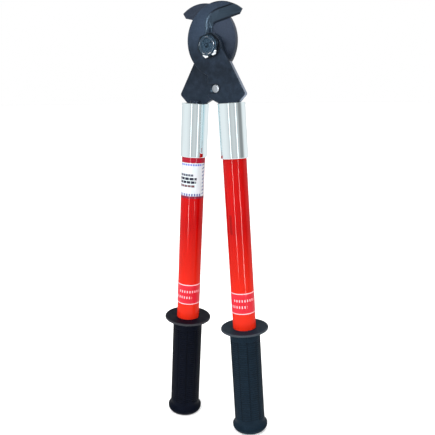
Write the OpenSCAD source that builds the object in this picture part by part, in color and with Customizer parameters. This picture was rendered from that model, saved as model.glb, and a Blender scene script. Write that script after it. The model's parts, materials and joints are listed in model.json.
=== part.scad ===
// Two-hand shear-type cable cutter with fibreglass handles, shown closed.
// Millimetres. +Z points from the grips to the cutting head, +X to the right handle,
// -Y to the front. The origin is under the middle of the two grip ends.

/* [Head] */
// Thickness of one jaw forging
jaw_t = 6; // [5:0.5:8]
// Radius of the round blade blank
blade_r = 37.2; // [36.5:0.1:38]
// Radius of the cutting edge at the root of the mouth
mouth_r = 6.5; // [6:0.1:6.6]
// Radius of the boss around the pivot
boss_r = 13; // [12.5:0.5:14]
// Width of the blunt land left along the cutting edge
edge_land = 0.8; // [0.5:0.1:1]
// Depth of the steep shoulder at the top of the ground bevel
shoulder_depth = 1.7; // [1:0.1:2.2]

/* [Pivot] */
// Diameter of the pivot bolt
pivot_d = 14; // [12:1:15]
// Width across the flats of the nut and the bolt head
pivot_af = 22; // [21:1:22]
// Diameter of the washers
washer_d = 24; // [23:0.5:25]
// Thickness of a washer
washer_t = 1.5; // [1:0.5:2]
// Height of the bolt head
bolt_head_h = 7; // [5:0.5:9]
// Height of the hexagon of the nut
nut_hex_h = 3.8; // [3:0.1:6]
// Height of the round collar of the nut
nut_collar_h = 1.7; // [1.5:0.1:3]
// Diameter of the stop pin
stop_pin_d = 8.2; // [7:0.2:9]

/* [Handles] */
// Angle between each handle and the middle plane
half_angle = 3.6; // [3:0.1:5]
// Distance of each handle line from the middle at pivot height
axis_gap = 17.75; // [17:0.25:19]
// Distance along a handle from pivot height to the end of its grip
handle_len = 423; // [400:1:480]
// Outer diameter of the fibreglass tube
tube_d = 25.4; // [24:0.2:27]
// Wall of the fibreglass tube
tube_wall = 3; // [2.5:0.5:4]
// Diameter of the round shank forged on each jaw
shank_d = 12; // [10:0.5:12]

/* [Ferrules] */
// Distance from pivot height to the top of a ferrule
ferrule_top = 57; // [56:0.5:60]
// Length of a ferrule
ferrule_len = 57; // [50:1:65]
// Outer diameter of a ferrule
ferrule_d = 29; // [28:0.5:31]
// Diameter of the locking screw at the back of a ferrule
screw_d = 6; // [5:1:6]

/* [Grips] */
// Distance from pivot height to the top face of the guard flange
guard_top = 301; // [295:1:310]
// Diameter of the guard flange
guard_d = 52.8; // [48:0.4:56]
// Thickness of the guard flange
guard_t = 2.5; // [2:0.5:4]
// Diameter of the grip
grip_d = 33.8; // [32:0.2:36]
// Diameter of the flared end of the grip
grip_end_d = 39.6; // [38:0.2:42]
// Length of the flared end of the grip
grip_end_len = 9; // [9:1:16]
// Rounding of the edge at the very end of the grip
grip_end_round = 4; // [3:0.5:4]

/* [Marks] */
// Distance from pivot height to the top of a marker band
band_top = 259; // [255:1:265]
// Length of a marker band
band_len = 23.5; // [20:0.5:26]
// Distance from pivot height to the top of the label
label_top = 120; // [118:1:125]
// Length of the label
label_len = 37; // [30:1:40]
// Part of the tube's girth that the label covers, in degrees
label_sweep = 208; // [160:4:240]

/* [Hidden] */

$fn = 96;
right = 1;
left = -1;

// Clearances: between the jaws, in the pivot, and between pieces of one handle
shear_gap = 0.05;
pivot_fit = 0.05;
seat_gap = 0.05;

// Blade blank and mouth, measured from the pivot in the plane of the jaw
blade_pos = [10.8, 5.2];
mouth_pos = [6.7, 16.6];
edge_slope = 0.235;
cut_reach = 60;

// Ground bevel: its top on the face of the jaw, its steep shoulder and its narrow edge step
ridge = [
    [cut_reach, 0], [cut_reach, 46.2], [24.2, 38.8], [9.9, 35.8], [5, 34.3],
    [1.7, 32.6], [-1.2, 30.4], [-4.5, 26.5], [-6, 22], [-6, 0]
];
shoulder = [
    [cut_reach, 0], [cut_reach, 45.3], [24.8, 37.95], [10.5, 34.9], [5.6, 33.3],
    [2.3, 31.4], [0.5, 29], [-1.2, 25], [-1.6, 20], [-1.6, 0]
];
micro_width = 1.4;
micro_y = 2.2;

// Stop pin, its notch in the front jaw and its ear on the rear jaw
stop_pos = [6.5, -42.5];
stop_pin_r = stop_pin_d / 2;
notch_r = stop_pin_r + 0.15;
notch_flare = 1.2;
ear_r = stop_pin_r + 2.6;
inner_edge_x = -3;

// Heights along the pivot, measured away from the shear plane
jaw_face_y = shear_gap / 2 + jaw_t;
washer_y = jaw_face_y + seat_gap;
nut_y = washer_y + washer_t + seat_gap;
nut_h = nut_hex_h + nut_collar_h;
nut_collar_d = 17.4;
lock_ring_h = 1.2;
lock_ring_d = 15.8;
nut_turn = 17;
nut_chamfer = 1;

// Handle pieces, measured along the handle from pivot height
shank_top = ferrule_top - 2;
shank_end = 116;
ferrule_cap = 2.5;
ferrule_end = ferrule_top + ferrule_len;
tube_top = ferrule_top + ferrule_cap + seat_gap;
tube_end = handle_len - 11;
plug_depth = 12;
plug_flange = 2;
core_top = shank_end + 5;
core_end = tube_end - plug_depth - 1;
tube_r = tube_d / 2;
tube_bore_r = tube_r - tube_wall;
screw_at = ferrule_top + 29;

// The pivot's height puts the lowest point of the tilted grip ends at zero
grip_end_r = grip_end_d / 2;
pivot_z = (handle_len - grip_end_round) * cos(half_angle)
    + (grip_end_r - grip_end_round) * sin(half_angle) + grip_end_round;

// Height of a plane square to the handle, at distance t along it, above a given x
function seat_z(x, t) = ((x - axis_gap) * sin(half_angle) - t) / cos(half_angle);

// Points of an arc about a centre, from angle a to angle b
function arc(c, r, a, b, n = 8) =
    [for (i = [0:n]) c + r * [cos(a + (b - a) * i / n), sin(a + (b - a) * i / n)]];

// Places its children on a handle: their +Z runs down the handle, their +Y stays at the back
module on_handle(side) {
    translate([side * axis_gap, 0, pivot_z])
        rotate([0, 180 - side * half_angle, 0])
            children();
}

// Extrudes a flat outline drawn in X and Z towards the front, starting at distance y
module slab(y, t) {
    translate([0, -y, pivot_z])
        rotate([90, 0, 0])
            linear_extrude(height = t)
                children();
}

// Turned piece on the pivot: the profile is [radius, distance to the front]
module turned_on_pivot(profile) {
    translate([0, 0, pivot_z])
        rotate([90, 0, 0])
            rotate_extrude()
                polygon(profile);
}

// ---- jaws ----

// Round root of the mouth, and the line down its left side to a foot, moved outwards by a distance
function root_line(away, foot) = concat(
    arc(mouth_pos, mouth_r + away, 90 + atan(edge_slope), 180, 10),
    [[mouth_pos[0] - mouth_r - away, foot], [cut_reach, foot]]
);

// Cutting edge with its straight run drawn on past the hook, moved outwards by a distance
function edge_line(away) =
    concat([mouth_pos + [cut_reach, mouth_r + away + edge_slope * cut_reach]], root_line(away, 0));

// Everything under and to the right of the cutting edge, with the blunt tip of the hook
module mouth_outline() {
    polygon(concat([[cut_reach, 33.8], [34.3, 33.8], [31.3, 29]], root_line(0, -cut_reach)));
}

module blade_outline() {
    difference() {
        translate(blade_pos)
            circle(r = blade_r, $fn = 180);
        mouth_outline();
    }
}

// Tang with its shoulders, from the boss to the seat on the ferrule
module tang_outline() {
    polygon(concat(
        [[0, -5], [inner_edge_x, -28]],
        arc([inner_edge_x + 3, -49.5], 3, 180, 255, 4),
        [[9.7, seat_z(9.7, ferrule_top)], [32.3, seat_z(32.3, ferrule_top)]],
        arc([36.8, -47.8], 2.6, -42, 26, 4),
        [[22.2, -15.8], [14, -2.4], [12.7, 2.8]]
    ));
}

// Slot in the front jaw's inner edge that the stop pin enters as the jaws close
module notch_outline() {
    translate(stop_pos)
        circle(r = notch_r);
    polygon([
        stop_pos + [0, notch_r], [inner_edge_x - 3, stop_pos[1] + notch_r],
        [inner_edge_x - 3, stop_pos[1] - notch_r - notch_flare], stop_pos - [0, notch_r]
    ]);
}

// Ear that carries the stop pin behind the front jaw
module ear_outline() {
    translate(stop_pos)
        circle(r = ear_r);
    translate([stop_pos[0] - 12, stop_pos[1] - ear_r])
        square([12, 2 * ear_r]);
}

// One step of the bevel: the solid between two convex outlines at distances y0 and y1
module bevel_step(y0, line0, y1, line1) {
    hull() {
        slab(y0, 0.01)
            polygon(line0);
        slab(y1, 0.01)
            polygon(line1);
    }
}

// Ground bevel: a narrow steep edge, a wide shallow band and a steep shoulder up to the face
module bevel_cutter() {
    shoulder_y = jaw_face_y - shoulder_depth;
    bevel_step(edge_land, edge_line(0), micro_y, edge_line(micro_width));
    bevel_step(micro_y, edge_line(micro_width), shoulder_y, shoulder);
    bevel_step(shoulder_y, shoulder, jaw_face_y + 0.2, ridge);
}

// Round shank that carries the handle, on the line of the handle
module shank(side) {
    on_handle(side)
        translate([0, 0, shank_top])
            cylinder(d = shank_d, h = shank_end - shank_top);
}

// One forging, drawn as the front jaw: blade, boss, tang and shank
module jaw_forging() {
    difference() {
        slab(shear_gap / 2, jaw_t)
            blade_outline();
        bevel_cutter();
    }
    slab(shear_gap / 2, jaw_t) {
        circle(r = boss_r);
        tang_outline();
    }
    shank(right);
}

module pivot_bore() {
    slab(-20, 40)
        circle(r = pivot_d / 2 + pivot_fit);
}

module front_jaw() {
    color("#38434f")
        difference() {
            jaw_forging();
            pivot_bore();
            slab(-1, jaw_t + 2)
                notch_outline();
        }
}

module rear_jaw() {
    color("#333d49")
        difference() {
            union() {
                rotate([0, 0, 180])
                    jaw_forging();
                slab(-shear_gap / 2 - jaw_t, jaw_t)
                    ear_outline();
            }
            pivot_bore();
            slab(-jaw_t - 2, jaw_t + 4)
                translate(stop_pos)
                    circle(r = stop_pin_r + 0.02);
        }
}

// ---- pivot ----

// Hexagon with chamfered corners, from distance y towards the front
module hexagon(y, h, chamfer_front) {
    corner_r = pivot_af / 2 / cos(30);
    face_r = pivot_af / 2 - nut_chamfer;
    outer_r = corner_r + 1;
    c = (outer_r - face_r) / 2;
    intersection() {
        slab(y, h)
            rotate(nut_turn)
                circle(r = corner_r, $fn = 6);
        turned_on_pivot(chamfer_front
            ? [[0, y], [outer_r, y], [outer_r, y + h - c], [face_r, y + h], [0, y + h]]
            : [[0, y], [face_r, y], [outer_r, y + c], [outer_r, y + h], [0, y + h]]);
    }
}

module pivot_bolt() {
    head_y = -nut_y - bolt_head_h;
    bolt_r = pivot_d / 2;
    end_y = nut_y + nut_h + 0.6;
    color("#9aa1a6") {
        hexagon(head_y, bolt_head_h, false);
        turned_on_pivot([
            [0, head_y + 1], [bolt_r, head_y + 1], [bolt_r, end_y - 1], [bolt_r - 1, end_y], [0, end_y]
        ]);
    }
}

module pivot_nut() {
    collar_r = nut_collar_d / 2;
    top_y = nut_y + nut_h;
    color("#cdd3d6")
        difference() {
            union() {
                hexagon(nut_y, nut_hex_h, true);
                turned_on_pivot([
                    [0, nut_y], [collar_r, nut_y], [collar_r, top_y - 0.6],
                    [collar_r - 0.6, top_y], [0, top_y]
                ]);
            }
            slab(nut_y - 1, nut_h + 2)
                circle(r = pivot_d / 2 + seat_gap);
            slab(top_y - lock_ring_h, lock_ring_h + 1)
                circle(d = lock_ring_d);
        }
}

module nut_lock_ring() {
    color("#3f5f86")
        slab(nut_y + nut_h - lock_ring_h + seat_gap, lock_ring_h - 2 * seat_gap)
            difference() {
                circle(d = lock_ring_d - 2 * seat_gap);
                circle(r = pivot_d / 2 + seat_gap);
            }
}

// Washer with a small chamfer on its outer side
module washer(y, outer_side) {
    hole_r = pivot_d / 2 + 0.2;
    rim_r = washer_d / 2;
    c = 0.4;
    near_r = outer_side ? rim_r : rim_r - c;
    far_r = outer_side ? rim_r - c : rim_r;
    color("#2f3439")
        turned_on_pivot([
            [hole_r, y], [near_r, y], [rim_r, y + c], [rim_r, y + washer_t - c],
            [far_r, y + washer_t], [hole_r, y + washer_t]
        ]);
}

module front_washer() {
    washer(washer_y, true);
}

module rear_washer() {
    washer(-washer_y - washer_t, false);
}

module stop_pin() {
    front_y = jaw_face_y + 0.8;
    back_y = -jaw_face_y;
    color("#aab0b6")
        translate([stop_pos[0], 0, stop_pos[1]])
            turned_on_pivot([
                [0, back_y], [stop_pin_r, back_y], [stop_pin_r, front_y - 0.6],
                [stop_pin_r - 0.6, front_y], [0, front_y]
            ]);
}

// ---- handles ----

// Polished sleeve with a closed top that the shank passes through
module ferrule(side) {
    r = ferrule_d / 2;
    e = 0.8;
    color("#e6e9ec")
        on_handle(side)
            difference() {
                rotate_extrude()
                    polygon(concat(
                        [[0, ferrule_top]],
                        arc([r - e, ferrule_top + e], e, -90, 0, 3),
                        arc([r - e, ferrule_end - e], e, 0, 90, 3),
                        [[0, ferrule_end]]
                    ));
                translate([0, 0, ferrule_top + ferrule_cap])
                    cylinder(r = tube_r + seat_gap, h = ferrule_len);
                translate([0, 0, ferrule_top - 1])
                    cylinder(d = shank_d + 2 * seat_gap, h = ferrule_cap + 2);
                screw_hole();
            }
}

module screw_hole() {
    translate([0, shank_d / 2, screw_at])
        rotate([-90, 0, 0])
            cylinder(r = screw_d / 2 + 0.02, h = ferrule_d);
}

// Headless screw from the back of the ferrule against the shank
module ferrule_screw(side) {
    socket_af = 3;
    socket_depth = 3;
    screw_len = ferrule_d / 2 - shank_d / 2 - 0.5;
    color("#3a3f45")
        on_handle(side)
            translate([0, shank_d / 2 + 0.05, screw_at])
                rotate([-90, 0, 0])
                    difference() {
                        cylinder(d = screw_d, h = screw_len, $fn = 48);
                        translate([0, 0, screw_len - socket_depth])
                            cylinder(d = socket_af / cos(30), h = socket_depth + 1, $fn = 6);
                    }
}

// Moulded bush that fills the space between the shank and the tube
module shank_bush(side) {
    bush_end = shank_end + 3;
    color("#d9d4c4")
        on_handle(side)
            difference() {
                translate([0, 0, tube_top])
                    cylinder(r = tube_bore_r - seat_gap, h = bush_end - tube_top);
                translate([0, 0, tube_top - 1])
                    cylinder(d = shank_d + 2 * seat_gap, h = shank_end - tube_top + 1.1);
                screw_hole();
            }
}

module tube(side) {
    color("#d5171b")
        on_handle(side)
            difference() {
                translate([0, 0, tube_top])
                    cylinder(r = tube_r, h = tube_end - tube_top);
                translate([0, 0, tube_top - 1])
                    cylinder(r = tube_bore_r, h = tube_end - tube_top + 2);
                screw_hole();
            }
}

module tube_core(side) {
    color("#e8dcb0")
        on_handle(side)
            translate([0, 0, core_top])
                cylinder(r = tube_bore_r - seat_gap, h = core_end - core_top);
}

// Stopper with a flange that closes the lower end of the tube
module end_plug(side) {
    color("#24282d")
        on_handle(side)
            rotate_extrude()
                polygon([
                    [0, tube_end - plug_depth], [tube_bore_r - 1, tube_end - plug_depth],
                    [tube_bore_r - seat_gap, tube_end - plug_depth + 2],
                    [tube_bore_r - seat_gap, tube_end + seat_gap], [tube_r, tube_end + seat_gap],
                    [tube_r, tube_end + plug_flange], [0, tube_end + plug_flange]
                ]);
}

// Thin printed wrap with a light ring at each end
module marker_band(side) {
    color("#c42a30")
        on_handle(side)
            translate([0, 0, band_top])
                difference() {
                    cylinder(r = tube_r + 0.25, h = band_len);
                    translate([0, 0, -1])
                        cylinder(r = tube_r + 0.02, h = band_len + 2);
                }
}

// Thin wrap-around label, open at the back of the tube
module left_label() {
    reach = tube_d;
    half = label_sweep / 2;
    color("#eef3f6")
        on_handle(left)
            translate([0, 0, label_top])
                difference() {
                    cylinder(r = tube_r + 0.2, h = label_len);
                    translate([0, 0, -1])
                        cylinder(r = tube_r + 0.02, h = label_len + 2);
                    translate([0, 0, -1])
                        linear_extrude(height = label_len + 2)
                            polygon([
                                [0, 0], reach * [sin(half), -cos(half)], [reach, reach],
                                [-reach, reach], reach * [-sin(half), -cos(half)]
                            ]);
                }
}

// Rubber grip: guard flange, plain handle part, flared and rounded closed end
module grip(side) {
    r = grip_d / 2;
    guard_r = guard_d / 2;
    rim = guard_t / 2;
    neck = 4;
    guard_end = guard_top + guard_t;
    flare_top = handle_len - grip_end_len;
    bore_end = tube_end + plug_flange + 0.2;
    color("#23262b")
        on_handle(side)
            difference() {
                rotate_extrude()
                    polygon(concat(
                        [[0, guard_top]],
                        arc([guard_r - rim, guard_top + rim], rim, -90, 90, 8),
                        arc([r + neck, guard_end + neck], neck, -90, -180, 6),
                        [[r, flare_top - 1.5], [r + 0.8, flare_top + 0.5], [grip_end_r - 0.5, flare_top + 3.5]],
                        arc([grip_end_r - grip_end_round, handle_len - grip_end_round],
                            grip_end_round, 0, 90, 8),
                        [[0, handle_len]]
                    ));
                translate([0, 0, guard_top - 1])
                    cylinder(r = tube_r + 0.05, h = bore_end - guard_top + 1);
            }
}

front_jaw();
rear_jaw();
pivot_bolt();
pivot_nut();
nut_lock_ring();
front_washer();
rear_washer();
stop_pin();
ferrule(right);  // right_ferrule
ferrule(left);  // left_ferrule
ferrule_screw(right);  // right_ferrule_screw
ferrule_screw(left);  // left_ferrule_screw
shank_bush(right);  // right_shank_bush
shank_bush(left);  // left_shank_bush
tube(right);  // right_tube
tube(left);  // left_tube
tube_core(right);  // right_tube_core
tube_core(left);  // left_tube_core
end_plug(right);  // right_end_plug
end_plug(left);  // left_end_plug
marker_band(right);  // right_marker_band
marker_band(left);  // left_marker_band
left_label();
grip(right);  // right_grip
grip(left);  // left_grip
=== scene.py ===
"""Looks of the two-hand cable cutter.

Detailed meshes round the CAD frame, procedural finishes, studio and camera.
"""
import json
import math

import bmesh
import bpy
from mathutils import Matrix, Vector

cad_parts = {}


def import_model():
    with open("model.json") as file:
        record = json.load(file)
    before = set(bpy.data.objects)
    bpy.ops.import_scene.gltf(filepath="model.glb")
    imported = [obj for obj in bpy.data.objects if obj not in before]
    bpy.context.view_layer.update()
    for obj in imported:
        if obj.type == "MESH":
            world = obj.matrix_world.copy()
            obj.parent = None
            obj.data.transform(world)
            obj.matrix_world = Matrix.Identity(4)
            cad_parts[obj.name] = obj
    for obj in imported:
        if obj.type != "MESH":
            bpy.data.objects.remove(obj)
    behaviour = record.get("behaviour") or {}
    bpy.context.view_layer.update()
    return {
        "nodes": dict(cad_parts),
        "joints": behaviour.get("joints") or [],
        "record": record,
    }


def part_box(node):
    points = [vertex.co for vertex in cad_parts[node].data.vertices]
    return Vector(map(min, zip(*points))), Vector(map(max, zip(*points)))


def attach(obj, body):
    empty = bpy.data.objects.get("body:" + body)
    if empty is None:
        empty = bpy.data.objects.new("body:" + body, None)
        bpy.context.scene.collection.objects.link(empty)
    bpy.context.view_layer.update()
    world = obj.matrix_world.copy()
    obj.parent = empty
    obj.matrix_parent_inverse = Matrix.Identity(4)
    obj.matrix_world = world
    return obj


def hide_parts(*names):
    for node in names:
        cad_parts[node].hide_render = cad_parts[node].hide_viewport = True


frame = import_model()

MM = 0.001
NODES = frame["nodes"]
MOUNTS = {m["name"]: m for m in frame["record"]["mounts"]}
PIVOT = Vector(frame["joints"][0]["pos_m"])
BODY = {"left": "rear_side", "right": "front_side"}
SIDES = ("left", "right")

# Segments of round pieces
FINE, MEDIUM, COARSE = 180, 144, 96


# ---------------- frames of reference

def local_frame(x, y, z, origin):
    """Matrix of a frame with these axes and this origin."""
    m = Matrix((x, y, z)).transposed().to_4x4()
    m.translation = origin
    return m


def handle_matrix(side):
    """Local x to the right, y to the front, z down the handle from pivot height."""
    mount = MOUNTS[side + "_grip_end"]
    down, end = Vector(mount["axis"]).normalized(), Vector(mount["pos_m"])
    origin = end - down * ((PIVOT.z - end.z) / -down.z)
    return local_frame((-down.z, 0, down.x), (0, -1, 0), down, origin)


HANDLE = {side: handle_matrix(side) for side in SIDES}
# Local x to the right, y up, z to the front
PIVOT_FRAME = local_frame((1, 0, 0), (0, 0, 1), (0, -1, 0), PIVOT)


def span(node, matrix):
    """(lowest, highest, largest radius) of a CAD node along the local z axis of matrix."""
    inverse = matrix.inverted()
    points = [inverse @ v.co for v in NODES[node].data.vertices]
    along = [p.z for p in points]
    return min(along), max(along), max(math.hypot(p.x, p.y) for p in points)


# ---------------- mesh building

class Shape:
    """Points and faces in a local frame, in metres. Each face has a material index."""

    def __init__(self):
        self.points, self.faces, self.slots = [], [], []

    def ring(self, points):
        start = len(self.points)
        self.points += [Vector(p) for p in points]
        return list(range(start, len(self.points)))

    def face(self, corners, slot=0):
        self.faces.append(corners)
        self.slots.append(slot)

    def skin(self, a, b, slot=0, closed=True):
        n = len(a)
        for i in range(n if closed else n - 1):
            j = (i + 1) % n
            self.face((a[i], a[j], b[j], b[i]), slot)

    def loft(self, rings, closed=True):
        for a, b in zip(rings, rings[1:]):
            self.skin(a, b, closed=closed)

    def cap(self, ring, centre, slot=0):
        c = self.ring([centre])[0]
        for i, p in enumerate(ring):
            self.face((p, ring[(i + 1) % len(ring)], c), slot)


def circle(radius, along, n, turn=0.0):
    """Points round the local z axis, angle 0 on local y.

    radius is a number or a function of the angle.
    """
    points = []
    for i in range(n):
        a = turn + math.tau * i / n
        r = radius(a) if callable(radius) else radius
        points.append((r * math.sin(a), r * math.cos(a), along))
    return points


# A round corner takes at most this part of the lines on either side of it
FILLET_SHARE = 0.48
# A profile point this close to the axis is on it
AXIS_TOL = 1e-7


def fillet(corners, steps=5, closed=False):
    """Rounds a polyline of (along, radius, rounding) corners into (along, radius) points."""
    out, n = [], len(corners)
    for i, (t, r, rounding) in enumerate(corners):
        at = Vector((t, r))
        ends = not closed and i in (0, n - 1)
        if rounding <= 0 or ends:
            out.append(at)
            continue
        before, after = Vector(corners[i - 1][:2]) - at, Vector(corners[(i + 1) % n][:2]) - at
        reach = min(rounding, FILLET_SHARE * before.length, FILLET_SHARE * after.length)
        a, b = at + before.normalized() * reach, at + after.normalized() * reach
        for k in range(steps + 1):
            s = k / steps
            out.append(a * (1 - s) ** 2 + at * 2 * s * (1 - s) + b * s * s)
    return [(p.x, p.y) for p in out]


def lathe(shape, profile, n, closed=False, slot=None, turn=0.0):
    """Turns an (along, radius) profile round the local z axis. Ends at radius 0 become caps.

    slot is a function of the middle of a step of the profile that gives its material index.
    """
    pick = slot or (lambda t, r: 0)
    rings, steps, tips = [], [], []
    for t, r in profile:
        if r < AXIS_TOL:
            tips.append((len(rings) == 0, t))
        else:
            rings.append(shape.ring(circle(r, t, n, turn)))
            steps.append((t, r))
    pairs = list(zip(range(len(rings) - 1), range(1, len(rings))))
    if closed:
        pairs.append((len(rings) - 1, 0))
    for i, j in pairs:
        middle = [(a + b) / 2 for a, b in zip(steps[i], steps[j])]
        shape.skin(rings[i], rings[j], pick(*middle))
    for at_start, t in tips:
        shape.cap(rings[0 if at_start else -1], (0, 0, t), pick(t, 0.0))
    return rings


def add_vectors(mesh, key, vectors):
    """Adds a vector for each point of a mesh, which its finish reads."""
    layer = mesh.attributes.new(key, "FLOAT_VECTOR", "POINT")
    layer.data.foreach_set("vector", [x for v in vectors for x in v])


def make(name, shape, matrix, materials, body, replaces=(), sharp=38, attributes=None):
    """Turns a shape into a piece that rides on a body."""
    mesh = bpy.data.meshes.new(name)
    mesh.from_pydata([matrix @ p for p in shape.points], [], shape.faces)
    for material in materials:
        mesh.materials.append(material)
    mesh.polygons.foreach_set("material_index", shape.slots)
    bm = bmesh.new()
    bm.from_mesh(mesh)
    bmesh.ops.recalc_face_normals(bm, faces=bm.faces)
    bm.to_mesh(mesh)
    bm.free()
    for key, vectors in {"local": shape.points, **(attributes or {})}.items():
        add_vectors(mesh, key, vectors)
    return finish_piece(name, mesh, body, replaces, sharp)


def add_object(name, data):
    """A new object in the scene."""
    made = bpy.data.objects.new(name, data)
    bpy.context.scene.collection.objects.link(made)
    return made


def finish_piece(name, mesh, body, replaces, sharp):
    """Makes a mesh a smooth-shaded piece that rides on a body. Edges over sharp degrees stay sharp."""
    mesh.shade_smooth()
    mesh.set_sharp_from_angle(angle=math.radians(sharp))
    piece = add_object(name, mesh)
    weighted = piece.modifiers.new("normals", "WEIGHTED_NORMAL")
    weighted.keep_sharp = True
    weighted.weight = 80
    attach(piece, body)
    if replaces:
        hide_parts(*replaces)
    return piece


# ---------------- material nodes

class Graph:
    """A shader tree and the nodes that the finishes are made of."""

    def __init__(self, tree):
        self.tree = tree

    def node(self, kind, inputs=(), **props):
        made = self.tree.nodes.new("ShaderNode" + kind)
        for key, value in props.items():
            setattr(made, key, value)
        for key, value in dict(inputs).items():
            self.feed(made.inputs[key], value)
        return made

    def feed(self, socket, value):
        """Links an output to a socket, or sets the socket to a plain value."""
        if isinstance(value, bpy.types.NodeSocket):
            self.tree.links.new(value, socket)
        else:
            socket.default_value = value

    def parts(self, vector):
        return self.node("SeparateXYZ", {0: vector}).outputs

    def math(self, operation, a, b=0.0):
        return self.node("Math", {0: a, 1: b}, operation=operation).outputs[0]

    def times(self, a, b):
        return self.math("MULTIPLY", a, b)

    def ramp(self, value, lo, hi, to_lo=0.0, to_hi=1.0):
        keys = {"Value": value, "From Min": lo, "From Max": hi, "To Min": to_lo, "To Max": to_hi}
        return self.node("MapRange", keys).outputs["Result"]

    def mix(self, share, a, b):
        """Colour a where share is 0, b where it is 1. A colour is an output or three numbers."""
        made = self.node("Mix", data_type="RGBA")
        self.feed(made.inputs[0], share)
        for key, value in ((6, a), (7, b)):
            self.feed(made.inputs[key], (*value, 1.0) if isinstance(value, tuple) else value)
        return made.outputs[2]


class Paint(Graph):
    """A material with a Principled shader and procedural inputs."""

    def __init__(self, name, metallic=0.0, roughness=0.5, **sockets):
        self.material = bpy.data.materials.new(name)
        self.material.use_nodes = True
        super().__init__(self.material.node_tree)
        self.shader = self.tree.nodes["Principled BSDF"]
        for key, value in {"Metallic": metallic, "Roughness": roughness, **sockets}.items():
            self.feed(self.shader.inputs[key.replace("_", " ")], value)
        self.local = self.attribute("local")

    def attribute(self, name):
        return self.node("Attribute", attribute_name=name).outputs["Vector"]

    def scaled(self, factors):
        return self.node("VectorMath", {0: self.local, 1: factors}, operation="MULTIPLY").outputs[0]

    def noise(self, scale, detail=3.0, roughness=0.55, vector=None):
        source = vector or self.local
        keys = {"Vector": source, "Scale": scale, "Detail": detail, "Roughness": roughness}
        return self.node("TexNoise", keys).outputs["Fac"]

    def colour(self, value):
        self.feed(self.shader.inputs["Base Color"], value)

    def rough(self, value):
        self.feed(self.shader.inputs["Roughness"], value)

    def bump(self, height, distance, strength=1.0):
        keys = {"Height": height, "Distance": distance, "Strength": strength}
        self.feed(self.shader.inputs["Normal"], self.node("Bump", keys).outputs["Normal"])


def cover(paint, pattern, dark, light, rough, bump, edges=(0.3, 0.7)):
    """Colour from dark to light, gloss through the range rough, and bump, all from one pattern."""
    paint.colour(paint.mix(paint.ramp(pattern, *edges), dark, light))
    paint.rough(paint.ramp(pattern, 0.3, 0.7, *rough))
    paint.bump(pattern, bump, 0.5)


def inside(paint, value, lo, hi):
    """1 where lo < value < hi, else 0."""
    return paint.times(paint.math("GREATER_THAN", value, lo), paint.math("LESS_THAN", value, hi))


def patch(paint, u, v, across, down):
    """1 where u is in the range across and v in the range down, else 0."""
    return paint.times(inside(paint, u, *across), inside(paint, v, *down))


def dashes(paint, value, period, share):
    """1 over the first share of each period."""
    phase = paint.math("FRACT", paint.math("DIVIDE", value, period))
    return paint.math("LESS_THAN", phase, share)


# ---------------- finishes

# Rubbed steel, also painted lighter as lit
RUBBED_AND_LIT = (0.1, 0.16, 0.22)


def darker(colour, share):
    """A colour times share, which may be more than 1."""
    return tuple(share * c for c in colour)


def gloss(weight, roughness, ior=1.5):
    """Shader sockets of a clear coat."""
    return {"Coat_Weight": weight, "Coat_Roughness": roughness, "Coat_IOR": ior}


def oxide_finish(name, tang, blade, metallic=0.75, centre=(-2.0, 18.0), rubbed_lit_box=None):
    """Blackened steel: darker below the pivot, and lighter round the blade, where a pool of light is
    painted.

    centre is the middle of the painted pool of light on the blade, in mm from the pivot.
    Its last argument is a box (x, y, x, y) in mm where the black is rubbed off and the steel is also
    painted lighter, as lit.
    """
    p = Paint(name, metallic=metallic, roughness=0.4, Specular_IOR_Level=0.5)
    across, height, _ = p.parts(p.local)
    # The blade is painted lighter round centre, as a pool of light
    light_pool_middle = (centre[0] * MM, centre[1] * MM, 0.0)
    offset = p.node("VectorMath", {0: p.local, 1: light_pool_middle}, operation="SUBTRACT")
    reach = p.node("VectorMath", {0: offset.outputs[0]}, operation="LENGTH").outputs["Value"]
    lit_blade_tint = p.mix(p.ramp(reach, 10 * MM, 26 * MM), blade, darker(blade, 0.66))
    foot_tint = p.mix(p.ramp(height, -24 * MM, -50 * MM), tang, darker(tang, 1.55))
    cloud = p.noise(38.0, 3.0)
    level = p.math("ADD", height, p.ramp(cloud, 0.3, 0.7, -0.006, 0.006))
    share = p.ramp(level, -0.02, 0.004)
    base = p.mix(share, foot_tint, lit_blade_tint)
    mottled = p.mix(p.ramp(p.noise(160.0, 5.0), 0.42, 0.75, 0.0, 0.22), base, darker(blade, 1.4))
    grain = p.noise(900.0, 4.0, 0.7)
    # Rubbed wear with painted light on it, kept below the slot's top, which is left dark as shade
    if rubbed_lit_box:
        x0, y0, x1, y1 = (c * MM for c in rubbed_lit_box)
        area = patch(p, across, height, (x0, x1), (y0, y1))
        streaks = p.ramp(p.noise(1.0, 2.0, 0.5, p.scaled((120.0, 900.0, 120.0))), 0.42, 0.58)
        mottled = p.mix(p.times(area, streaks), mottled, RUBBED_AND_LIT)
    p.colour(p.mix(p.ramp(grain, 0.35, 0.65, 0.0, 0.25), mottled, darker(tang, 0.5)))
    p.rough(p.ramp(p.math("ADD", grain, cloud), 0.7, 1.3, 0.34, 0.5))
    p.bump(p.math("ADD", grain, p.noise(220.0, 3.0)), 0.00006, 0.8)
    return p.material


def ground_finish(name, tint):
    """Ground steel, blackened afterwards: fine marks, darker towards the tip of the hook."""
    p = Paint(name, metallic=0.8, roughness=0.33)
    marks = p.noise(60.0, 4.0, 0.6, p.scaled((1.0, 18.0, 1.0)))
    away = p.math("ABSOLUTE", p.parts(p.local)[0])
    shade = p.mix(p.ramp(away, 8 * MM, 28 * MM), tint, darker(tint, 0.72))
    p.colour(p.mix(p.ramp(marks, 0.3, 0.7, 0.0, 0.5), shade, darker(tint, 1.35)))
    p.rough(p.ramp(marks, 0.3, 0.7, 0.26, 0.42))
    p.bump(marks, 0.00003, 0.6)
    return p.material


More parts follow.
